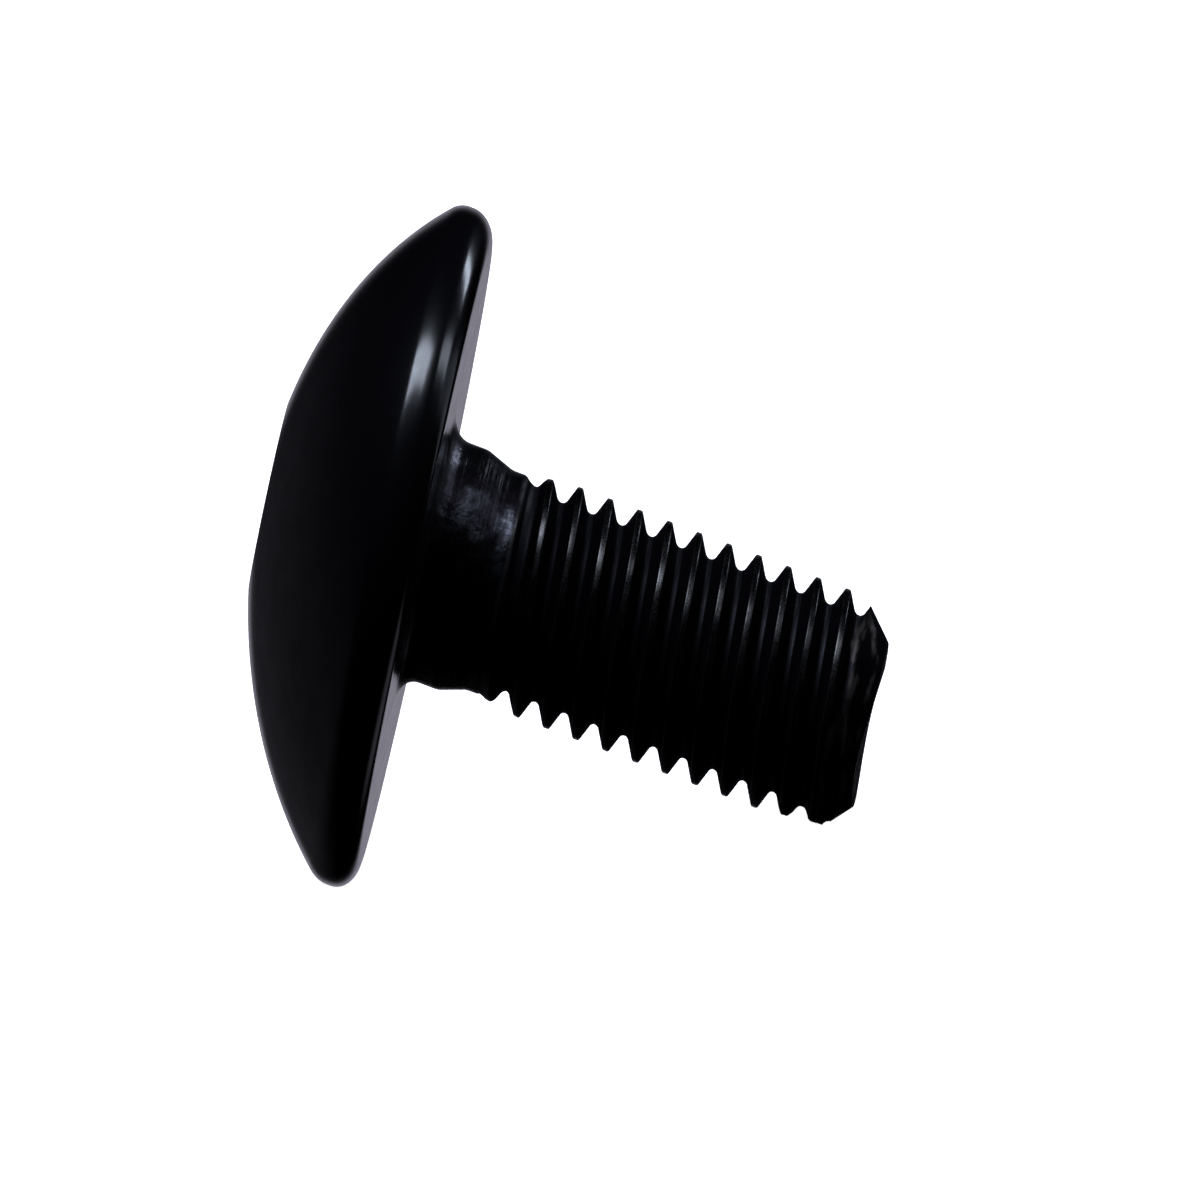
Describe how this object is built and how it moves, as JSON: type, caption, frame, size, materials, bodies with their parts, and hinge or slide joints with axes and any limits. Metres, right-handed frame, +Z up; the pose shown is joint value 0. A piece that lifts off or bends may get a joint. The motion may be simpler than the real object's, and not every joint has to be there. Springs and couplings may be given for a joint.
{
  "type": "fairing screw",
  "caption": "Mushroom-head machine screw with a hex socket, a short plain neck and a rolled right-hand metric thread, lying as it comes to rest.",
  "frame": {"origin": "where the screw's axis meets the plane of the head's bearing face", "axes": "+Z up with the screw lying as it comes to rest; the screw's axis lies in the XZ plane with the tip towards +X and down, the head towards -X"},
  "size_m": [0.0206, 0.017, 0.0161],
  "materials": {
    "black_steel": "semi-gloss black coating on steel"
  },
  "bodies": {
    "root": {"fairing_screw": "black_steel"}
  },
  "joints": []
}
